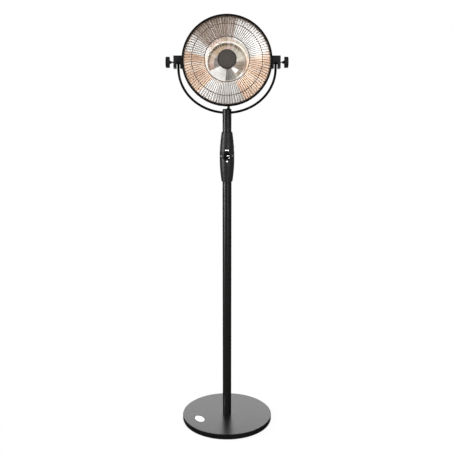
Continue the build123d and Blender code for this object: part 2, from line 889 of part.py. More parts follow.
for side, word in ((-1, "left"), (1, "right")):
    with BuildPart() as bracket:
        with BuildSketch(head_side.offset(side * bracket_inner)):
            RectangleRounded(bracket_depth, bracket_height, 5)
        extrude(amount=side * (bracket_outer - bracket_inner))
        fillet(bracket.faces().filter_by(Axis.X).sort_by(Axis.X)[(side - 1) // 2].edges(), radius=2)
        with BuildSketch(head_side.offset(side * arm_inner)):
            RectangleRounded(34, 30, 5)
        extrude(amount=side * (bracket_inner - arm_inner))
        with BuildSketch(head_side.offset(side * slot_inner)):
            Circle(eye_radius + 1.2)
            with Locations((0, -3 - bracket_height / 4)):
                Rectangle(bracket_depth + 2, bracket_height / 2)
        extrude(amount=side * (slot_outer - slot_inner), mode=Mode.SUBTRACT)
        with BuildSketch(head_side.offset(side * slot_outer)):
            Circle(pin_radius + running_clearance)
        extrude(amount=side * (bracket_outer - slot_outer), mode=Mode.SUBTRACT)
        with BuildSketch(head_side.offset(side * nut_start)):
            RegularPolygon(nut_flats / 2 + 0.1, 6, major_radius=False)
        extrude(amount=side * nut_depth, mode=Mode.SUBTRACT)
        with BuildSketch(head_section):
            with BuildLine():
                shell_side(0.05)
                Polyline(
                    (shell_radius + 0.05, shell_straight),
                    (shell_radius + 0.05, rim_back),
                    (0, rim_back),
                    (0, shell_back - 0.05),
                    (shell_back_radius + 0.025, shell_back - 0.05),
                )
            make_face()
        revolve(axis=head_axis, mode=Mode.SUBTRACT)
        with BuildSketch(head_plane.offset(rim_back - 1)):
            Circle(rim_radius + 0.3)
        extrude(amount=rim_front - rim_back + 1, mode=Mode.SUBTRACT)
    pieces[f"bracket_{word}"] = bracket

    with BuildPart() as clamp_nut:
        with BuildSketch(head_side.offset(side * (nut_start + 0.1))):
            RegularPolygon(nut_flats / 2, 6, major_radius=False)
            Circle(pin_radius + running_clearance, mode=Mode.SUBTRACT)
        extrude(amount=side * (nut_depth - 0.2))
    pieces[f"clamp_nut_{word}"] = clamp_nut

    with BuildPart() as friction_washers:
        outer_washer = slot_outer - washer_thickness - eye_gap / 2
        for start in (slot_inner + eye_gap / 2, outer_washer):
            with BuildSketch(head_side.offset(side * start)):
                Circle(washer_radius)
                Circle(pin_radius + 0.3, mode=Mode.SUBTRACT)
            extrude(amount=side * washer_thickness)
    pieces[f"friction_washers_{word}"] = friction_washers

    with BuildPart() as clamp_bolt:
        with BuildSketch(head_side.offset(side * (nut_start + 0.5))):
            Circle(pin_radius)
        extrude(amount=side * (knob_disc_start + 6 - nut_start - 0.5))
    pieces[f"clamp_bolt_{word}"] = clamp_bolt

    with BuildPart() as clamp_knob:
        with BuildSketch(head_side.offset(side * knob_hub_start)):
            Circle(knob_hub_radius)
        extrude(amount=side * (knob_disc_start - knob_hub_start))
        with BuildSketch(head_side.offset(side * knob_disc_start)):
            Circle(knob_radius)
        extrude(amount=side * (knob_disc_end - knob_disc_start))
        knob_ends = clamp_knob.faces().filter_by(Axis.X).sort_by(Axis.X)
        fillet(knob_ends[(side - 1) // 2].edges(), radius=5)
        rim_edges = clamp_knob.edges().filter_by(GeomType.CIRCLE).group_by(SortBy.RADIUS)[-1]
        fillet(rim_edges.sort_by(Axis.X)[(side + 1) // -2], radius=3)
        with BuildSketch(head_side.offset(side * knob_disc_start)):
            with PolarLocations(knob_radius + knob_flute_radius - 2, knob_flutes):
                Circle(knob_flute_radius)
        extrude(amount=side * (knob_disc_end - knob_disc_start), mode=Mode.SUBTRACT)
        with BuildSketch(head_side.offset(side * knob_hub_start)):
            Circle(pin_radius + 0.02)
        extrude(amount=side * (knob_disc_start + 6.2 - knob_hub_start), mode=Mode.SUBTRACT)
    pieces[f"clamp_knob_{word}"] = clamp_knob

# ---------------------------------------------------------------- terminal housing

gland_flange = 2.5
gland_root = terminal_radius + 0.5

with BuildPart() as terminal_cover:
    with BuildSketch(head_plane.offset(terminal_back)):
        Circle(terminal_radius)
    extrude(amount=shell_back - terminal_back)
    fillet(terminal_cover.edges().group_by(head_axis)[0], radius=6)
    with BuildSketch(head_plane.offset(terminal_back + terminal_wall)):
        Circle(terminal_radius - terminal_wall)
    extrude(amount=shell_back - terminal_back - terminal_wall, mode=Mode.SUBTRACT)
    with BuildSketch(head_plane.offset(terminal_back + terminal_wall)):
        with PolarLocations(terminal_screw_circle, terminal_screw_count, start_angle=90):
            Circle(5)
    extrude(amount=shell_back - terminal_back - terminal_wall)
    with BuildSketch(head_plane.offset(terminal_back)):
        with PolarLocations(terminal_screw_circle, terminal_screw_count, start_angle=90):
            Circle(2.3)
        for row in range(-2, 3):
            with Locations((0, 9 * row)):
                SlotOverall(62 - 8 * abs(row), 3.2)
    extrude(amount=shell_back - terminal_back, mode=Mode.SUBTRACT)
    with BuildSketch(Plane(origin=head_point(lead_side, 0, head_gland_place), z_dir=Vector(upward) * -1)):
        Circle(lead_radius + 0.5)
    extrude(amount=terminal_radius + 1, mode=Mode.SUBTRACT)
pieces["terminal_cover"] = terminal_cover

with BuildPart() as terminal_screws:
    with BuildSketch(head_plane.offset(terminal_back - 2)):
        with PolarLocations(terminal_screw_circle, terminal_screw_count, start_angle=90):
            Circle(4)
    extrude(amount=2)
    with BuildSketch(head_plane.offset(terminal_back)):
        with PolarLocations(terminal_screw_circle, terminal_screw_count, start_angle=90):
            Circle(2)
    extrude(amount=shell_back - terminal_back + 5)
pieces["terminal_screws"] = terminal_screws

with BuildPart() as terminal_block:
    with BuildSketch(head_plane.offset(shell_back - 14)):
        with Locations((0, 30)):
            RectangleRounded(34, 18, 2)
    extrude(amount=14)
pieces["terminal_block"] = terminal_block

gland_axis = Axis(head_point(lead_side, 0, head_gland_place), Vector(upward) * -1)
gland_section = Plane(
    origin=head_point(lead_side, 0, head_gland_place),
    x_dir=(1, 0, 0),
    z_dir=Vector((1, 0, 0)).cross(Vector(upward) * -1),
)

with BuildPart() as head_gland:
    with BuildSketch(gland_section):
        with BuildLine():
            Polyline(
                (lead_radius + 0.05, gland_root),
                (boot_base_radius + 0.8, gland_root),
                (boot_base_radius + 0.8, gland_root + gland_flange),
                (boot_base_radius - 0.6, gland_root + gland_flange + 1.5),
                (boot_tip_radius, gland_root + boot_length + 4),
                (lead_radius + 0.05, gland_root + boot_length + 4),
                close=True,
            )
        make_face()
    revolve(axis=gland_axis)
pieces["head_gland"] = head_gland

# ---------------------------------------------------------------- leads

pole_lead_route = [
    (0, 22.0, inlet_height),
    (0, 0, inlet_height),
    (0, 0, 300),
    (6, 0, 420),
    (6, 0, 1136),
    (6, -9, 1160),
    (6, -9, dial_height - 17),
]
pole_lead_radii = [13.0] + [min(r, 200.0) for r in arc_radii(pole_lead_route)[1:]]

with BuildPart() as pole_lead:
    with BuildLine() as pole_lead_line:
        FilletPolyline(*pole_lead_route, radius=pole_lead_radii)
    with BuildSketch(Plane(origin=pole_lead_line.line @ 0, z_dir=pole_lead_line.line % 0)):
        Circle(lead_radius)
    sweep(path=pole_lead_line.line)
pieces["pole_lead"] = pole_lead

neck_lead_route = [
    (6, -9, dial_height + 17),
    (6, -9, 1234),
    (6, 7, 1270),
    (lead_side, lead_back, 1310),
    (lead_side, lead_back, boot_bottom),
]
neck_lead_radii = [min(r, 60.0) for r in arc_radii(neck_lead_route)]

with BuildPart() as neck_lead:
    with BuildLine() as neck_lead_line:
        FilletPolyline(*neck_lead_route, radius=neck_lead_radii)
    with BuildSketch(Plane(origin=neck_lead_line.line @ 0, z_dir=neck_lead_line.line % 0)):
        Circle(lead_radius)
    sweep(path=neck_lead_line.line)
pieces["neck_lead"] = neck_lead

head_lead_route = [
    (lead_side, lead_back, boot_bottom),
    (lead_side, lead_back, 1432.0),
    (lead_side, 19.0, 1446.5),
    (lead_side, 33.0, 1451.0),
    head_point(lead_side, -108.2, head_gland_place),
    head_point(lead_side, -50.0, head_gland_place),
]
head_lead_radii = arc_radii(head_lead_route)

with BuildPart() as head_lead:
    with BuildLine() as head_lead_line:
        FilletPolyline(*head_lead_route, radius=head_lead_radii)
    with BuildSketch(Plane(origin=head_lead_line.line @ 0, z_dir=head_lead_line.line % 0)):
        Circle(lead_radius)
    sweep(path=head_lead_line.line)
pieces["head_lead"] = head_lead

# ---------------------------------------------------------------- written pieces

for lead, radii in (
    ("pole_lead", pole_lead_radii),
    ("neck_lead", neck_lead_radii),
    ("head_lead", head_lead_radii),
):
    print(lead, "bend radii in mm:", [round(r, 1) for r in radii])

for name, piece in pieces.items():
    piece.part.label = name
    export_step(piece.part, f"parts/{name}.step")
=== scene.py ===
import json
import math

import bpy
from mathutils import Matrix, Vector


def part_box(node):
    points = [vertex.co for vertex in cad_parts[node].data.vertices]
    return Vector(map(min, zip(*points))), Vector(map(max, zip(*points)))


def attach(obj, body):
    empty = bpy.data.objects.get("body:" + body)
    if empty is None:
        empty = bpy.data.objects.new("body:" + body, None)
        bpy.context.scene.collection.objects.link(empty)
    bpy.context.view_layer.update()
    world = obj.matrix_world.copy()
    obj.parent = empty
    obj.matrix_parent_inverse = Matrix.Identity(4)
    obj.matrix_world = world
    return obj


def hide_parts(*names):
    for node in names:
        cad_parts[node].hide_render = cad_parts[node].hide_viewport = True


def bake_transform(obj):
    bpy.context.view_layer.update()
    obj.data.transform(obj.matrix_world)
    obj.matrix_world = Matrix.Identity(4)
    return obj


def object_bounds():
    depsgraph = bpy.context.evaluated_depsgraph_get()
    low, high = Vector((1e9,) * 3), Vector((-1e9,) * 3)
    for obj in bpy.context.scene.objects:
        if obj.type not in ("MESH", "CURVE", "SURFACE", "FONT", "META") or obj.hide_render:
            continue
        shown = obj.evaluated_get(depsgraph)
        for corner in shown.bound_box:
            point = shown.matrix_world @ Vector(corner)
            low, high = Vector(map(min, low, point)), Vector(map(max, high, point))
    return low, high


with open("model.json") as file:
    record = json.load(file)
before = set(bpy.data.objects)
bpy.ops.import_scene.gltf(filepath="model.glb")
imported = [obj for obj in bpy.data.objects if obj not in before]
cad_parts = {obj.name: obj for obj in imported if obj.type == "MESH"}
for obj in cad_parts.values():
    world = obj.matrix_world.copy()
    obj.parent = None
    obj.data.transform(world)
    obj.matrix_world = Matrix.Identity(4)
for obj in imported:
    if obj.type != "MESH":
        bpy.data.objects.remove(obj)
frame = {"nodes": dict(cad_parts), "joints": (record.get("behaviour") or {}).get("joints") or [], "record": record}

# Looks of a free-standing radiant patio heater, in metres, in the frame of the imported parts.

nodes = frame["nodes"]
cad_low, cad_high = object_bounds()

# ---------------------------------------------------------------- places read from the frame

tilt_joint = next(j for j in frame["joints"] if j["name"] == "head_tilt")
pivot = Vector(tilt_joint["pos_m"])
rod_low, rod_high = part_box("element_rod")
rod_middle = (rod_low + rod_high) / 2 - pivot
head_tilt = math.atan2(rod_middle.z, -rod_middle.y)
forward = Vector((0, -math.cos(head_tilt), math.sin(head_tilt)))
upward = Vector((0, math.sin(head_tilt), math.cos(head_tilt)))
across = Vector((1, 0, 0))

floor_z = cad_low.z
badge_low, badge_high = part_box("badge")
dial_low, dial_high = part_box("dial")
dial_centre = (dial_low + dial_high) / 2


def head_point(x, up, ahead):
    """A point given across, up and forward in the dish's own frame, from the pivot."""
    return pivot + across * x + upward * up + forward * ahead


# ---------------------------------------------------------------- shader helpers


class Shader:
    """A material's node tree with short calls for the nodes used here."""

    def __init__(self, name):
        self.material = bpy.data.materials.new(name)
        self.material.use_nodes = True
        self.tree = self.material.node_tree
        self.tree.nodes.clear()
        self.out = self.node("ShaderNodeOutputMaterial")
        self.bsdf = self.node("ShaderNodeBsdfPrincipled")
        self.link(self.bsdf.outputs["BSDF"], self.out.inputs["Surface"])
        self.coords = self.node("ShaderNodeTexCoord").outputs["Object"]
        self.normal = None

    def node(self, kind, **settings):
        made = self.tree.nodes.new(kind)
        for key, value in settings.items():
            setattr(made, key, value)
        return made

    def link(self, source, target):
        self.tree.links.new(source, target)

    def put(self, target, value):
        """A number, colour or socket on an input."""
        if isinstance(value, bpy.types.NodeSocket):
            self.link(value, target)
        else:
            target.default_value = value

    def math(self, operation, a, b=0.0, c=0.0):
        made = self.node("ShaderNodeMath", operation=operation)
        for target, value in zip(made.inputs, (a, b, c)):
            self.put(target, value)
        return made.outputs[0]

    def vector_math(self, operation, a, b=(0.0, 0.0, 0.0)):
        made = self.node("ShaderNodeVectorMath", operation=operation)
        self.put(made.inputs[0], a)
        self.put(made.inputs[1], b)
        return made.outputs["Value" if operation in ("DOT_PRODUCT", "LENGTH") else "Vector"]

    def noise(self, scale, detail=3.0, roughness=0.55, coords=None):
        made = self.node("ShaderNodeTexNoise")
        self.put(made.inputs["Vector"], coords or self.coords)
        made.inputs["Scale"].default_value = scale
        made.inputs["Detail"].default_value = detail
        made.inputs["Roughness"].default_value = roughness
        return made.outputs["Fac"]

    def cells(self, scale):
        made = self.node("ShaderNodeTexVoronoi")
        self.put(made.inputs["Vector"], self.coords)
        made.inputs["Scale"].default_value = scale
        return made.outputs["Distance"]

    def ramp(self, fac, stops):
        """Colours by position: stops are (position, (r, g, b)) or (position, grey)."""
        made = self.node("ShaderNodeValToRGB")
        band = made.color_ramp
        while len(band.elements) < len(stops):
            band.elements.new(0.5)
        for element, (place, colour) in zip(band.elements, stops):
            element.position = place
            grey = not hasattr(colour, "__len__")
            element.color = (colour,) * 3 + (1,) if grey else (*colour, 1)
        self.put(made.inputs["Fac"], fac)
        return made.outputs["Color"]

    def spread(self, fac, low, high, start=0.0, end=1.0):
        """fac's range start..end mapped to low..high."""
        made = self.node("ShaderNodeMapRange")
        for name, value in (
            ("Value", fac), ("From Min", start), ("From Max", end), ("To Min", low), ("To Max", high),
        ):
            self.put(made.inputs[name], value)
        return made.outputs["Result"]

    def mix(self, fac, a, b, blend="MIX"):
        made = self.node("ShaderNodeMix", data_type="RGBA", blend_type=blend)
        self.put(made.inputs["Factor"], fac)
        self.put(made.inputs["A"], (*a, 1) if isinstance(a, tuple) else a)
        self.put(made.inputs["B"], (*b, 1) if isinstance(b, tuple) else b)
        return made.outputs["Result"]

    def bump(self, height, strength, distance):
        """Adds a layer of relief, on top of those before it."""
        made = self.node("ShaderNodeBump")
        made.inputs["Strength"].default_value = strength
        made.inputs["Distance"].default_value = distance
        self.link(height, made.inputs["Height"])
        if self.normal:
            self.link(self.normal, made.inputs["Normal"])
        self.normal = made.outputs["Normal"]

    def edges(self, low=0.52, high=0.62):
        """1 along convex edges, 0 on flats."""
        point = self.node("ShaderNodeNewGeometry").outputs["Pointiness"]
        return self.spread(point, 0.0, 1.0, low, high)

    def finish(self, **sockets):
        for name, value in sockets.items():
            label = name.replace("_", " ")
            if isinstance(value, tuple) and len(value) == 3:
                value = (*value, 1)
            self.put(self.bsdf.inputs[label], value)
        if self.normal:
            self.link(self.normal, self.bsdf.inputs["Normal"])
        return self.material


# ---------------------------------------------------------------- materials


def powder_coat(name, colour, roughness, texture=1.0, gloss=0.5):
    """Fine-textured powder coat: orange peel, faint cloudiness and slightly polished edges."""
    s = Shader(name)
    cloud = s.noise(14, 4)
    peel = s.noise(1500, 2)
    lighter = tuple(min(1, c * 1.25 + 0.0006) for c in colour)
    base = s.mix(s.spread(cloud, 0, 1, 0.3, 0.7), colour, lighter)
    speck = s.spread(s.noise(2600, 1), 0, 0.4, 0.62, 0.75)
    base = s.mix(speck, base, tuple(c * 1.8 + 0.001 for c in colour))
    base = s.mix(s.math("MULTIPLY", s.edges(), 0.35), base, tuple(c * 2.2 + 0.004 for c in colour))
    s.bump(peel, 0.12 * texture, 0.0002)
    s.bump(s.noise(420, 3), 0.04 * texture, 0.0002)
    rough = s.spread(s.noise(60, 4), roughness - 0.015, roughness + 0.02, 0.3, 0.7)
    return s.finish(Base_Color=base, Roughness=rough, IOR=1.5, Specular_IOR_Level=gloss)


def moulded_plastic(name, colour, roughness, grain=1.0, grain_scale=1800):
    """Injection-moulded plastic with a spark-eroded grain."""
    s = Shader(name)
    patch = s.noise(22, 3)
    base = s.mix(s.spread(patch, 0, 1, 0.3, 0.7), colour, tuple(c * 1.3 + 0.003 for c in colour))
    base = s.mix(s.math("MULTIPLY", s.edges(), 0.4), base, tuple(c * 2.2 + 0.004 for c in colour))
    s.bump(s.cells(grain_scale), 0.22 * grain, 0.0003)
    s.bump(s.noise(grain_scale * 0.5, 2), 0.12 * grain, 0.0003)
    rough = s.spread(s.noise(90, 3), roughness - 0.05, roughness + 0.07, 0.3, 0.7)
    return s.finish(Base_Color=base, Roughness=rough, IOR=1.48)


def gloss_plastic(name, colour):
    """Polished black plastic with faint hairline scratches."""
    s = Shader(name)
    stretched = s.vector_math("MULTIPLY", s.coords, (900.0, 900.0, 60.0))
    scratch = s.noise(1.0, 2, coords=stretched)
    base = s.mix(s.spread(s.noise(30), 0, 1, 0.3, 0.7), colour, tuple(c * 1.6 + 0.002 for c in colour))
    s.bump(scratch, 0.03, 0.0002)
    rough = s.spread(scratch, 0.07, 0.16, 0.35, 0.7)
    return s.finish(Base_Color=base, Roughness=rough, IOR=1.5, Coat_Weight=0.6, Coat_Roughness=0.05)


def plain_rubber(name, colour, roughness=0.75):
    """Moulded rubber with a dusty bloom."""
    s = Shader(name)
    bloom = s.spread(s.noise(45, 5), 0, 0.6, 0.45, 0.8)
    base = s.mix(bloom, colour, tuple(c * 1.8 + 0.012 for c in colour))
    s.bump(s.noise(1400, 3), 0.25, 0.0003)
    return s.finish(Base_Color=base, Roughness=s.spread(bloom, roughness - 0.08, roughness + 0.08))


def cable_sheath(name, colour):
    """Rubber-sheathed flex: matt, with fine talc marks along it."""
    s = Shader(name)
    along = s.vector_math("MULTIPLY", s.coords, (700.0, 700.0, 90.0))
    talc = s.spread(s.noise(1.0, 3, coords=along), 0, 0.5, 0.5, 0.8)
    base = s.mix(talc, colour, tuple(c * 2 + 0.012 for c in colour))
    s.bump(s.noise(900, 2), 0.2, 0.0003)
    return s.finish(Base_Color=base, Roughness=s.spread(talc, 0.5, 0.68))


def plated_steel(name, colour, roughness=0.33, metallic=1.0):
    """Zinc-plated or bare steel with drawn lines and dulled spots."""
    s = Shader(name)
    drawn = s.noise(1.0, 2, coords=s.vector_math("MULTIPLY", s.coords, (220.0, 1600.0, 1600.0)))
    spots = s.spread(s.noise(260, 4), 0, 1, 0.5, 0.75)
    base = s.mix(spots, colour, tuple(c * 0.72 for c in colour))
    base = s.mix(s.spread(drawn, 0, 0.3, 0.3, 0.7), base, tuple(min(1, c * 1.15) for c in colour))
    s.bump(drawn, 0.06, 0.0002)
    rough = s.spread(spots, roughness, roughness + 0.16)
    return s.finish(Base_Color=base, Metallic=metallic, Roughness=rough)


def cast_iron(name, colour):
    """Rough sand-cast iron with a thin black wash."""
    s = Shader(name)
    sand = s.noise(420, 6, 0.7)
    base = s.mix(s.spread(sand, 0, 1, 0.35, 0.65), colour, tuple(c * 1.9 for c in colour))
    s.bump(sand, 0.7, 0.0008)
    return s.finish(Base_Color=base, Metallic=0.4, Roughness=s.spread(sand, 0.6, 0.85))


def ceramic(name, colour):
    """Unglazed white steatite with faint firing marks."""
    s = Shader(name)
    marks = s.spread(s.noise(70, 5), 0, 1, 0.45, 0.7)
    base = s.mix(marks, colour, tuple(c * 0.82 for c in colour))
    s.bump(s.noise(1200, 4), 0.3, 0.0003)
    return s.finish(Base_Color=base, Roughness=s.spread(marks, 0.55, 0.75))


def heating_wire(name):
    """Oxidised resistance wire: brown-grey with bluish turns."""
    s = Shader(name)
    tone = s.spread(s.noise(160, 3), 0, 1, 0.35, 0.65)
    base = s.mix(tone, (0.30, 0.22, 0.17), (0.20, 0.22, 0.27))
    s.bump(s.noise(2200, 2), 0.2, 0.0002)
    return s.finish(Base_Color=base, Metallic=0.9, Roughness=s.spread(tone, 0.35, 0.55))


def fibre(name, colour):
    """Pressed fibre board: short strands in all directions."""
    s = Shader(name)
    strands = s.noise(1.0, 4, 0.7, coords=s.vector_math("MULTIPLY", s.coords, (900.0, 2600.0, 2600.0)))
    base = s.mix(s.spread(strands, 0, 1, 0.35, 0.65), colour, tuple(c * 2.1 + 0.01 for c in colour))
    s.bump(strands, 0.4, 0.0003)
    return s.finish(Base_Color=base, Roughness=0.82)


def printed_mark(name, colour):
    """Pad-printed ink: nearly even, with tiny pinholes."""
    s = Shader(name)
    holes = s.spread(s.noise(2400, 2), 0, 0.5, 0.64, 0.72)
    base = s.mix(holes, colour, tuple(c * 0.6 for c in colour))
    s.bump(s.noise(1600, 2), 0.1, 0.0002)
    return s.finish(Base_Color=base, Roughness=s.spread(s.noise(300), 0.4, 0.55))


def guard_metal(name):
    """Dark bronzed wire: plating over drawn steel, worn a little brighter on the crests."""
    s = Shader(name)
    tone = s.spread(s.noise(120, 4), 0, 1, 0.3, 0.7)
    base = s.mix(tone, (0.060, 0.042, 0.032), (0.115, 0.085, 0.068))
    s.bump(s.noise(2000, 2), 0.15, 0.0002)
    return s.finish(Base_Color=base, Metallic=0.35, Roughness=s.spread(tone, 0.32, 0.45))


def dish_angle(s):
    """Turns round the dish's axis, 0 and 1 at the bottom, 0.25 left and 0.5 top, seen from the front."""
    local = s.vector_math("SUBTRACT", s.coords, tuple(pivot))
    right = s.vector_math("DOT_PRODUCT", local, tuple(across))
    up = s.vector_math("DOT_PRODUCT", local, tuple(upward))
    turn = s.math("ARCTAN2", s.math("MULTIPLY", right, -1.0), s.math("MULTIPLY", up, -1.0))
    turn = s.math("ADD", s.math("DIVIDE", turn, math.tau), 1.0)
    radius = s.math("SQRT", s.math("ADD", s.math("MULTIPLY", right, right), s.math("MULTIPLY", up, up)))
    return s.math("FRACT", turn), radius, local


def spun_aluminium(name, zones, roughness):
    """Bright-rolled aluminium, spun to shape: fine circular lines, radial painted reflection streaks and, by
    sector, painted reflections of the warm room and the studio, with painted shade in the dark sectors.
    zones holds (outer radius, colours by turn round the axis), from the middle of the dish outwards."""
    s = Shader(name)
    turn, radius, local = dish_angle(s)
    # colours by turn and radius: painted reflections and painted shade, fixed to the dish
    tone = s.ramp(turn, zones[0][1])
    for (border, _), (_, stops) in zip(zones, zones[1:]):
        zone = s.spread(radius, 0, 1, border - 0.0012, border + 0.0012)
        tone = s.mix(zone, tone, s.ramp(turn, stops))
    ring_coords = s.node("ShaderNodeCombineXYZ")
    s.link(s.math("MULTIPLY", radius, 1500.0), ring_coords.inputs["X"])
    s.link(s.math("MULTIPLY", turn, 6.0), ring_coords.inputs["Y"])
    rings = s.noise(1.0, 2, coords=ring_coords.outputs["Vector"])
    ray_coords = s.node("ShaderNodeCombineXYZ")
    s.link(s.math("MULTIPLY", turn, 110.0), ray_coords.inputs["X"])
    s.link(s.math("MULTIPLY", radius, 5.0), ray_coords.inputs["Y"])
    rays = s.noise(1.0, 3, coords=ray_coords.outputs["Vector"])
    # radial streaks, lighter and darker: painted reflection streaks
    base = s.mix(s.spread(rays, 0, 0.5, 0.45, 0.7), tone, (0.98, 0.97, 0.96))
    base = s.mix(s.spread(rays, 0.35, 0, 0.3, 0.45), base, s.mix(0.5, tone, (0.30, 0.24, 0.20)))
    base = s.mix(s.spread(rings, 0.0, 0.10, 0.4, 0.7), base, (0.35, 0.33, 0.31))
    s.bump(rings, 0.08, 0.0003)
    rough = s.spread(rings, roughness - 0.04, roughness + 0.08, 0.3, 0.7)
    return s.finish(Base_Color=base, Metallic=0.3, Roughness=rough)


def cap_enamel(name):
    """Heat-proof enamel on the cap: matt brown-black, darkened towards the rim by painted shade on its edge."""
    s = Shader(name)
    turn, radius, local = dish_angle(s)
    # painted shade: darker towards the rim
    tone = s.ramp(s.spread(radius, 0, 1, 0.0, 0.040), [
        (0.0, (0.030, 0.026, 0.022)), (0.72, (0.026, 0.022, 0.019)), (0.93, (0.008, 0.007, 0.006)),
    ])
    tone = s.mix(s.spread(s.noise(90, 5), 0, 0.5, 0.4, 0.7), tone, (0.040, 0.035, 0.030))
    s.bump(s.noise(1300, 3), 0.3, 0.0003)
    return s.finish(Base_Color=tone, Roughness=s.spread(s.noise(200, 3), 0.6, 0.75))


def brushed_badge(name, colour):
    """Brushed aluminium disc: straight hairlines along X."""
    s = Shader(name)
    hair = s.noise(1.0, 3, coords=s.vector_math("MULTIPLY", s.coords, (60.0, 3600.0, 900.0)))
    base = s.mix(s.spread(hair, 0, 0.6, 0.3, 0.7), colour, tuple(c * 0.8 for c in colour))
    s.bump(hair, 0.12, 0.0002)
    return s.finish(Base_Color=base, Metallic=0.75, Roughness=s.spread(hair, 0.3, 0.45, 0.3, 0.7))


WHITE = (0.98, 0.98, 0.97)
SILVER = (0.88, 0.87, 0.85)
GREY = (0.55, 0.54, 0.52)
BROWN = (0.37, 0.29, 0.24)
PEACH = (0.93, 0.68, 0.50)
AMBER = (0.70, 0.45, 0.30)
CREAM = (0.95, 0.86, 0.72)
TAN = (0.50, 0.37, 0.23)
ROSE = (0.62, 0.46, 0.38)
STONE = (0.52, 0.48, 0.40)
STEEL = (0.19, 0.18, 0.165)
UMBER = (0.30, 0.17, 0.11)
MOSS = (0.20, 0.15, 0.10)
OLIVE = (0.13, 0.09, 0.045)
DUSK = (0.12, 0.095, 0.09)
# near black for the flange's painted shade at the top and left
FLANGE_SHADE = (0.025, 0.021, 0.017)

# painted reflections round the dish as (turn, colour): bottom, left, top, right, bottom; the warm and silver
# sectors stand in for the room and studio mirrored in the metal, the darkest ones are painted shade
band_reflection_sectors = [
    (0.000, GREY), (0.060, SILVER), (0.110, SILVER), (0.130, PEACH), (0.280, PEACH), (0.300, SILVER),
    (0.335, SILVER), (0.370, ROSE), (0.450, ROSE), (0.500, TAN), (0.545, ROSE), (0.580, STONE),
    (0.700, STONE), (0.735, PEACH), (0.920, PEACH), (0.945, GREY), (1.000, GREY),
]
outer_reflection_sectors = [
    (0.000, GREY), (0.045, GREY), (0.060, SILVER), (0.115, WHITE), (0.125, PEACH), (0.190, AMBER),
    (0.225, PEACH), (0.285, AMBER), (0.293, SILVER), (0.350, SILVER), (0.360, BROWN), (0.530, BROWN),
    (0.545, SILVER), (0.620, WHITE), (0.710, WHITE), (0.725, PEACH), (0.780, AMBER), (0.850, PEACH),
    (0.925, AMBER), (0.935, GREY), (1.000, GREY),
]
floor_reflection_sectors = [
    (0.000, STEEL), (0.012, STEEL), (0.020, SILVER), (0.185, SILVER), (0.200, DUSK), (0.330, DUSK),
    (0.380, TAN), (0.470, TAN), (0.500, ROSE), (0.550, ROSE), (0.570, STONE), (0.710, STONE),
    (0.730, MOSS), (0.825, MOSS), (0.835, WHITE), (0.880, WHITE), (0.895, BROWN), (0.940, STEEL),
    (1.000, STEEL),
]
bowl_reflection_sectors = [
    (0.000, STEEL), (0.012, STEEL), (0.020, SILVER), (0.080, WHITE), (0.180, SILVER), (0.195, UMBER),
    (0.260, ROSE), (0.330, TAN), (0.450, TAN), (0.500, ROSE), (0.550, ROSE), (0.570, STONE),
    (0.710, STONE), (0.740, MOSS), (0.835, MOSS), (0.860, BROWN), (0.890, STONE), (0.940, STEEL),
    (1.000, STEEL),
]
# just inside the bead: painted shade from the left over the top, painted reflections at the bottom and lower right
painted_shade_sectors = [
    (0.000, GREY), (0.012, GREY), (0.020, WHITE), (0.175, WHITE), (0.195, UMBER), (0.280, MOSS),
    (0.330, OLIVE), (0.480, OLIVE), (0.600, MOSS), (0.700, STONE), (0.760, UMBER), (0.830, ROSE),
    (0.850, WHITE), (0.905, WHITE), (0.925, STONE), (1.000, GREY),
]
bead_reflection_sectors = [
    (0.000, SILVER), (0.080, CREAM), (0.150, WHITE), (0.350, CREAM), (0.500, WHITE), (0.620, CREAM),
    (0.800, AMBER), (0.860, WHITE), (0.930, WHITE), (1.000, SILVER),
]
# the reflector's flange inside the rim: painted reflections low left and low right, painted shade from the left
# over the top
flange_reflection_sectors = [
    (0.000, GREY), (0.050, SILVER), (0.080, WHITE), (0.180, WHITE), (0.230, BROWN), (0.260, FLANGE_SHADE),
    (0.600, FLANGE_SHADE), (0.700, BROWN), (0.760, SILVER), (0.800, WHITE), (0.930, WHITE), (1.000, GREY),
]

slots = {
    "powder_black": powder_coat("powder_black", (0.003, 0.003, 0.0028), 0.30),
    "bracket_casting": powder_coat("bracket_casting", (0.004, 0.004, 0.004), 0.45, 1.4, 0.3),
    "cast_iron": cast_iron("cast_iron", (0.05, 0.05, 0.052)),
    "zinc_steel": plated_steel("zinc_steel", (0.62, 0.63, 0.65)),
    "black_screws": plated_steel("black_screws", (0.035, 0.035, 0.037), 0.4, 0.6),
    "rubber": plain_rubber("rubber", (0.012, 0.012, 0.012)),
    "badge_plate": brushed_badge("badge_plate", (0.86, 0.87, 0.88)),
    "switch_body": moulded_plastic("switch_body", (0.55, 0.53, 0.48), 0.5),
    "housing_plastic": moulded_plastic("housing_plastic", (0.007, 0.007, 0.007), 0.36),
    "dial_gloss": gloss_plastic("dial_gloss", (0.0008, 0.0008, 0.0008)),
    "dial_mark": printed_mark("dial_mark", (0.85, 0.85, 0.84)),
    "brass": plated_steel("brass", (0.78, 0.58, 0.28), 0.28),
    "knob_plastic": moulded_plastic("knob_plastic", (0.002, 0.002, 0.002), 0.5),
    "reflector_aluminium": spun_aluminium("reflector_aluminium", (
        (0.0530, floor_reflection_sectors), (0.0700, bowl_reflection_sectors), (0.0785, painted_shade_sectors), (0.0850, bead_reflection_sectors),
        (0.0960, band_reflection_sectors), (0.1708, outer_reflection_sectors), (0.2, flange_reflection_sectors),
    ), 0.34),
    "guard_wire": guard_metal("guard_wire"),
    "ceramic": ceramic("ceramic", (0.82, 0.79, 0.72)),
    "heating_wire": heating_wire("heating_wire"),
    "cap_enamel": cap_enamel("cap_enamel"),
    "fibre_washer": fibre("fibre_washer", (0.05, 0.035, 0.025)),
    "lead_sheath": cable_sheath("lead_sheath", (0.010, 0.010, 0.010)),
}
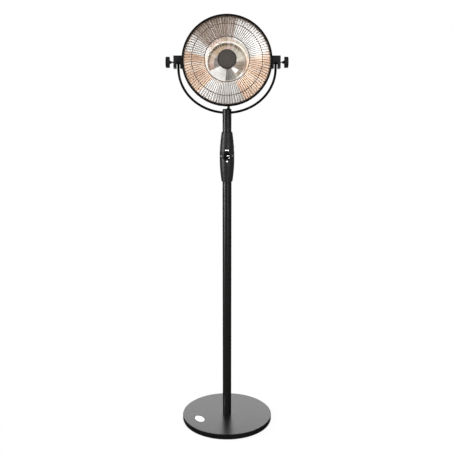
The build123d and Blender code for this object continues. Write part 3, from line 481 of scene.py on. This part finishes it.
# A darker, duller copy of the black powder coat for the rim band, the head's shell and the yoke; its extra
# darkness is painted shade.
shaded_powder_black = powder_coat("shaded_powder_black", (0.0008, 0.0007, 0.0006), 0.45, 0.8, 0.2)

slot_of = {row["node"]: row["material_slot"] for row in frame["record"]["subparts"]}
for name, thing in nodes.items():
    # the rim band, head shell and yoke take the darker copy: painted shade
    finish = shaded_powder_black if name in ("rim_band", "head_shell", "yoke") else slots[slot_of[name]]
    if not thing.data.materials:
        thing.data.materials.append(finish)
    for index in range(len(thing.material_slots)):
        thing.material_slots[index].material = finish

# ---------------------------------------------------------------- mesh helpers


def mesh_piece(name, points, faces, slot_name, material=None, smooth=True):
    data = bpy.data.meshes.new(name)
    data.from_pydata([tuple(p) for p in points], [], faces)
    data.update()
    piece = bpy.data.objects.new(name, data)
    bpy.context.scene.collection.objects.link(piece)
    data.materials.append(material or slots[slot_name])
    if smooth:
        data.shade_smooth()
    return piece


def tube_mesh(path, radius, sides=10, closed=False):
    """Points and faces of a round tube along a path, ends capped unless closed. radius may vary by point."""
    path = [Vector(p) for p in path]
    count = len(path)
    radii = [radius] * count if isinstance(radius, float) else list(radius)
    tangents = []
    for i in range(count):
        before = path[i - 1] if i or closed else path[i]
        after = path[(i + 1) % count] if i + 1 < count or closed else path[i]
        tangents.append((after - before).normalized())
    side = tangents[0].orthogonal().normalized()
    points, faces = [], []
    for i in range(count):
        if i:
            side = (tangents[i - 1].rotation_difference(tangents[i]) @ side).normalized()
        other = tangents[i].cross(side)
        for k in range(sides):
            angle = math.tau * k / sides
            points.append(path[i] + (side * math.cos(angle) + other * math.sin(angle)) * radii[i])
    for i in range(count if closed else count - 1):
        a, b = i * sides, (i + 1) % count * sides
        for k in range(sides):
            n = (k + 1) % sides
            faces.append((a + k, a + n, b + n, b + k))
    if not closed:
        faces.append(tuple(reversed(range(sides))))
        faces.append(tuple(range((count - 1) * sides, count * sides)))
    return points, faces


def gather(parts):
    """One list of points and faces from several."""
    points, faces = [], []
    for some_points, some_faces in parts:
        shift = len(points)
        points += some_points
        faces += [tuple(i + shift for i in face) for face in some_faces]
    return points, faces


def lathe_mesh(profile, segments=256):
    """A closed profile of (radius, forward) turned round the dish's axis."""
    points, faces = [], []
    size = len(profile)
    for i in range(segments):
        angle = math.tau * i / segments
        for radius, ahead in profile:
            points.append(head_point(radius * math.cos(angle), radius * math.sin(angle), ahead))
    for i in range(segments):
        a, b = i * size, (i + 1) % segments * size
        for k in range(size):
            n = (k + 1) % size
            faces.append((a + k, b + k, b + n, a + n))
    return points, faces


def arc_points(start, middle, end, count):
    """Points on the circle through three points of a plane, both ends included."""
    (ax, ay), (bx, by), (cx, cy) = start, middle, end
    d = 2 * (ax * (by - cy) + bx * (cy - ay) + cx * (ay - by))
    sa, sb, sc = ax * ax + ay * ay, bx * bx + by * by, cx * cx + cy * cy
    ux = (sa * (by - cy) + sb * (cy - ay) + sc * (ay - by)) / d
    uy = (sa * (cx - bx) + sb * (ax - cx) + sc * (bx - ax)) / d
    radius = math.hypot(ax - ux, ay - uy)
    first = math.atan2(ay - uy, ax - ux)
    last = math.atan2(cy - uy, cx - ux)
    turn = (last - first + math.pi) % math.tau - math.pi
    return [
        (ux + radius * math.cos(first + turn * i / (count - 1)),
         uy + radius * math.sin(first + turn * i / (count - 1)))
        for i in range(count)
    ]


# ---------------------------------------------------------------- smooth shading of CAD pieces


def soften(name, angle=30):
    """Welds the import's split corners and shades smooth up to an angle, with flat faces kept flat."""
    thing = nodes[name]
    weld = thing.modifiers.new("weld", "WELD")
    weld.merge_threshold = 0.00001
    split = thing.modifiers.new("split", "EDGE_SPLIT")
    split.split_angle = math.radians(angle)
    thing.data.shade_smooth()
    thing.modifiers.new("flats", "WEIGHTED_NORMAL").mode = "FACE_AREA_WITH_ANGLE"


for name in nodes:
    soften(name)

# ---------------------------------------------------------------- guard

guard_spokes = 96
spoke_radius = 0.0012
inner_ring = (0.0880, 0.0980, 0.0017)
middle_ring = (0.1398, 0.0890, 0.0015)
outer_ring = (0.1714, 0.0610, 0.0020)


def ring_path(radius, ahead, count=192):
    angles = [math.tau * i / count for i in range(count)]
    return [head_point(radius * math.cos(a), radius * math.sin(a), ahead) for a in angles]


def build_guard():
    spoke = arc_points(outer_ring[:2], (middle_ring[0], middle_ring[1] + 0.0008), inner_ring[:2], 12)
    parts = []
    for i in range(guard_spokes):
        angle = math.tau * i / guard_spokes
        path = [head_point(r * math.cos(angle), r * math.sin(angle), f) for r, f in spoke]
        parts.append(tube_mesh(path, spoke_radius, 10))
    for radius, ahead, wire in (inner_ring, middle_ring, outer_ring):
        parts.append(tube_mesh(ring_path(radius, ahead), wire, 12, closed=True))
    piece = mesh_piece("guard_grille", *gather(parts), "guard_wire")
    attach(piece, "head")
    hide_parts("guard")


build_guard()

# ---------------------------------------------------------------- reflector and inner bowl

reflector_sheet = 0.0008


def offset_profile(front, thickness):
    """A closed sheet profile: the front line, then the same line moved back along its normals."""
    back = []
    for i, (r, f) in enumerate(front):
        r0, f0 = front[max(i - 1, 0)]
        r1, f1 = front[min(i + 1, len(front) - 1)]
        length = math.hypot(r1 - r0, f1 - f0)
        back.append((r + (f1 - f0) / length * -thickness, f + (r1 - r0) / length * thickness))
    return front + back[::-1]


def build_reflector():
    dish = arc_points((0.1710, 0.0480), (0.1310, 0.0120), (0.0848, -0.0090), 48)
    front = [(0.1760, 0.0499), (0.1722, 0.0499)] + dish
    sheet = lathe_mesh(offset_profile(front, -reflector_sheet))
    piece = mesh_piece("reflector_dish", *sheet, "reflector_aluminium")
    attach(piece, "head")
    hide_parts("reflector")


build_reflector()

bead_radius = 0.0028
bead_place = (0.0822, -0.0080)


def build_inner_bowl():
    bead = [
        (bead_place[0] + bead_radius * math.cos(a), bead_place[1] + bead_radius * math.sin(a))
        for a in [math.tau * i / 20 for i in range(20)]
    ]
    wall = arc_points((0.0806, -0.0088), (0.0700, -0.0260), (0.0420, -0.0390), 40)
    front = wall + [(0.0330, -0.0390), (0.0206, -0.0390)]
    parts = [lathe_mesh(bead), lathe_mesh(offset_profile(front, -reflector_sheet))]
    piece = mesh_piece("inner_bowl_spun", *gather(parts), "reflector_aluminium")
    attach(piece, "head")
    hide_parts("inner_bowl")


build_inner_bowl()

# ---------------------------------------------------------------- marks round the dial

barrel_bottom, barrel_top = 1.091, 1.297
barrel_radius, barrel_end_radius = 0.0310, 0.0228
# dots as (x, z, radius)
bright_dots = [(-0.0040, 1.2252, 0.0031), (0.0040, 1.2252, 0.0031), (0.0, 1.1796, 0.0032)]
dim_dots = [(-0.0230, 1.2003, 0.0026), (0.0230, 1.2003, 0.0026)]

def barrel_y(x, z):
    """Front surface of the control housing: an arc from end to end, turned round the pole."""
    half = (barrel_top - barrel_bottom) / 2
    middle = (barrel_top + barrel_bottom) / 2
    rise = barrel_radius - barrel_end_radius
    arc = (half**2 + rise**2) / (2 * rise)
    radius = barrel_radius - arc + math.sqrt(arc**2 - (z - middle) ** 2)
    return -math.sqrt(radius**2 - x**2)


def mark_mesh(x, z, radius, rings=4, count=24, thickness=0.00025):
    """A round printed dot centred at x and z, laid on the curved housing."""
    points = [Vector((x, barrel_y(x, z) - thickness, z))]
    faces = []
    for ring in range(1, rings + 1):
        for i in range(count):
            angle = math.tau * i / count
            px = x + radius * ring / rings * math.cos(angle)
            pz = z - radius * ring / rings * math.sin(angle)
            points.append(Vector((px, barrel_y(px, pz) - thickness, pz)))
    edge = 1 + (rings - 1) * count
    points += [p + Vector((0, thickness + 0.0004, 0)) for p in points[edge:edge + count]]
    for i in range(count):
        n = (i + 1) % count
        faces.append((0, 1 + i, 1 + n))
        for ring in range(rings):
            a = 1 + ring * count
            faces.append((a + i, a + count + i, a + count + n, a + n))
    faces.append(tuple(range(edge + 2 * count - 1, edge + count - 1, -1)))
    return points, faces


def build_marks():
    bright = [mark_mesh(*dot) for dot in bright_dots]
    piece = mesh_piece("dial_scale_bright", *gather(bright), "dial_mark", smooth=False)
    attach(piece, "stand")
    side = [mark_mesh(*dot) for dot in dim_dots]
    grey_ink = printed_mark("dial_scale_grey", (0.20, 0.20, 0.20))
    piece = mesh_piece("dial_scale_dim", *gather(side), "dial_mark", grey_ink, smooth=False)
    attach(piece, "stand")


build_marks()


def build_dial_print():
    """A short slanted stroke printed on the dial's skirt, below the pointer."""
    skirt, ink = 0.0055, 0.0002
    along = Vector((0.7, 0, 0.7)) * 0.0036
    aside = Vector((0.7, 0, -0.7)) * 0.0012
    middle = Vector((0.0094, dial_high.y - skirt - ink, dial_centre.z - 0.0085))
    front = [middle + along * a + aside * b for a, b in ((-1, -1), (1, -1), (1, 1), (-1, 1))]
    back = [p + Vector((0, 0.0004, 0)) for p in front]
    faces = [(0, 1, 2, 3), (7, 6, 5, 4)] + [(i, i + 4, (i + 1) % 4 + 4, (i + 1) % 4) for i in range(4)]
    piece = mesh_piece("dial_stroke", front + back, faces, "dial_mark", smooth=False)
    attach(piece, "dial")


build_dial_print()

# ---------------------------------------------------------------- badge

badge_reach_out = 0.0184
badge_reach_along = 0.0299

def build_badge():
    """A plain oval plate: brushed face inside a raised rim."""
    centre = (badge_low + badge_high) / 2
    outward = Vector((centre.x, centre.y, 0)).normalized()
    along = Vector((-outward.y, outward.x, 0))
    bottom, top = badge_low.z, badge_high.z
    profile = [(0.78, top - 0.0003), (0.83, top), (0.96, top), (1.0, top - 0.0004), (1.0, bottom + 0.00005)]
    segments = 96
    size = len(profile)
    points, faces = [], []
    for i in range(segments):
        angle = math.tau * i / segments
        reach = outward * badge_reach_out * math.cos(angle) + along * badge_reach_along * math.sin(angle)
        for share, z in profile:
            points.append(Vector((centre.x, centre.y, z)) + reach * share)
    for i in range(segments):
        a, b = i * size, (i + 1) % segments * size
        for k in range(size - 1):
            faces.append((a + k, a + k + 1, b + k + 1, b + k))
    faces.append(tuple(i * size for i in range(segments)))
    faces.append(tuple(i * size + size - 1 for i in reversed(range(segments))))
    piece = mesh_piece("badge_plate_oval", points, faces, "badge_plate")
    split = piece.modifiers.new("split", "EDGE_SPLIT")
    split.split_angle = math.radians(35)
    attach(piece, "stand")
    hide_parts("badge")


build_badge()

# ---------------------------------------------------------------- lead between the neck and the dish

lead_radius = 0.0025
boot_low, boot_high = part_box("lead_boot")
lead_x = (boot_low.x + boot_high.x) / 2
lead_y = (boot_low.y + boot_high.y) / 2
lead_route = [
    (lead_x, lead_y, 1.3910), (lead_x, lead_y, 1.4320),
    (lead_x, 0.0190, 1.4465), (lead_x, 0.0330, 1.4510),
    tuple(head_point(lead_x, -0.1082, -0.072)), tuple(head_point(lead_x, -0.050, -0.072)),
]


def spline_points(route, resolution=14):
    """Points along the smooth curve that the route controls."""
    curve = bpy.data.curves.new("lead_line", "CURVE")
    curve.dimensions = "3D"
    spline = curve.splines.new("NURBS")
    spline.points.add(len(route) - 1)
    for point, place in zip(spline.points, route):
        point.co = (*place, 1)
    spline.order_u = 3
    spline.use_endpoint_u = True
    spline.resolution_u = resolution
    holder = bpy.data.objects.new("lead_line", curve)
    line = bpy.data.meshes.new_from_object(holder)
    places = [v.co.copy() for v in line.vertices]
    bpy.data.objects.remove(holder)
    bpy.data.curves.remove(curve)
    bpy.data.meshes.remove(line)
    return places


def build_lead():
    line = spline_points(lead_route)
    piece = mesh_piece("head_flex", *tube_mesh(line, lead_radius, 16), "lead_sheath")
    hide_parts("head_lead")
    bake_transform(piece)


build_lead()

# ---------------------------------------------------------------- floor, light and camera


def build_floor():
    """A pale round floor that fades into the white surround."""
    count, radius = 96, 30.0
    points = [(radius * math.cos(math.tau * i / count), radius * math.sin(math.tau * i / count), floor_z)
              for i in range(count)]
    data = bpy.data.meshes.new("studio_floor")
    data.from_pydata(points, [], [tuple(range(count))])
    floor = bpy.data.objects.new("studio_floor", data)
    bpy.context.scene.collection.objects.link(floor)
    s = Shader("studio_floor")
    flat = s.vector_math("MULTIPLY", s.coords, (1.0, 1.0, 0.0))
    far = s.spread(s.vector_math("LENGTH", flat), 0.82, 1, 0.25, 1.0)
    glow = s.node("ShaderNodeEmission")
    glow.inputs["Color"].default_value = (1, 1, 1, 1)
    glow.inputs["Strength"].default_value = 1.0
    blend = s.node("ShaderNodeMixShader")
    s.link(far, blend.inputs[0])
    s.bsdf.inputs["Base Color"].default_value = (0.9, 0.9, 0.9, 1)
    s.bsdf.inputs["Roughness"].default_value = 0.9
    s.link(s.bsdf.outputs["BSDF"], blend.inputs[1])
    s.link(glow.outputs["Emission"], blend.inputs[2])
    s.link(blend.outputs[0], s.out.inputs["Surface"])
    data.materials.append(s.material)
    floor.visible_glossy = False


build_floor()


def build_world():
    """White to the camera; a dim even surround for light and reflections."""
    world = bpy.data.worlds.new("studio")
    bpy.context.scene.world = world
    world.use_nodes = True
    tree = world.node_tree
    tree.nodes.clear()
    out = tree.nodes.new("ShaderNodeOutputWorld")
    seen = tree.nodes.new("ShaderNodeBackground")
    seen.inputs["Color"].default_value = (1, 1, 1, 1)
    light = tree.nodes.new("ShaderNodeBackground")
    coords = tree.nodes.new("ShaderNodeTexCoord")
    split = tree.nodes.new("ShaderNodeSeparateXYZ")
    tree.links.new(coords.outputs["Generated"], split.inputs[0])
    lift = tree.nodes.new("ShaderNodeMapRange")
    lift.inputs["From Min"].default_value = -1
    tree.links.new(split.outputs["Z"], lift.inputs["Value"])
    ramp = tree.nodes.new("ShaderNodeValToRGB")
    stops = [(0.0, 0.02), (0.25, 0.03), (0.42, 0.07), (0.50, 0.12), (0.75, 0.14), (1.0, 0.20)]
    while len(ramp.color_ramp.elements) < len(stops):
        ramp.color_ramp.elements.new(0.5)
    for element, (place, grey) in zip(ramp.color_ramp.elements, stops):
        element.position = place
        element.color = (grey, grey, grey, 1)
    tree.links.new(lift.outputs["Result"], ramp.inputs["Fac"])
    tree.links.new(ramp.outputs["Color"], light.inputs["Color"])
    path = tree.nodes.new("ShaderNodeLightPath")
    mix = tree.nodes.new("ShaderNodeMixShader")
    tree.links.new(path.outputs["Is Camera Ray"], mix.inputs[0])
    tree.links.new(light.outputs[0], mix.inputs[1])
    tree.links.new(seen.outputs[0], mix.inputs[2])
    tree.links.new(mix.outputs[0], out.inputs["Surface"])


build_world()


def area_light(name, place, target, size, power, mirrored=True):
    data = bpy.data.lights.new(name, "AREA")
    data.shape = "RECTANGLE"
    data.size, data.size_y = size
    data.energy = power
    light = bpy.data.objects.new(name, data)
    bpy.context.scene.collection.objects.link(light)
    light.location = place
    light.rotation_euler = (Vector(target) - Vector(place)).to_track_quat("-Z", "Y").to_euler()
    light.visible_camera = False
    light.visible_glossy = mirrored


area_light("strip_left", (-2.74, -1.22, 1.3), (0, 0, 1.3), (0.7, 2.4), 55)
area_light("strip_right", (1.17, -2.76, 1.3), (0, 0, 1.3), (0.35, 2.4), 14)
area_light("front_soft", (0, -2.6, 3.0), (0, 0, 1.5), (2.4, 1.6), 170, mirrored=False)
area_light("panel_back", (0, 2.0, 1.05), (0, 0, 0.03), (3.0, 0.7), 24)

scene = bpy.context.scene
scene.view_settings.view_transform = "Standard"

camera_data = bpy.data.cameras.new("camera")
camera_data.sensor_width = 36.0
camera_data.lens = 62.81
camera = bpy.data.objects.new("camera", camera_data)
scene.collection.objects.link(camera)
camera.location = (0.0, -3.258, 1.7245)
camera.rotation_euler = (math.radians(90 - 14.31), 0, 0)
scene.camera = camera
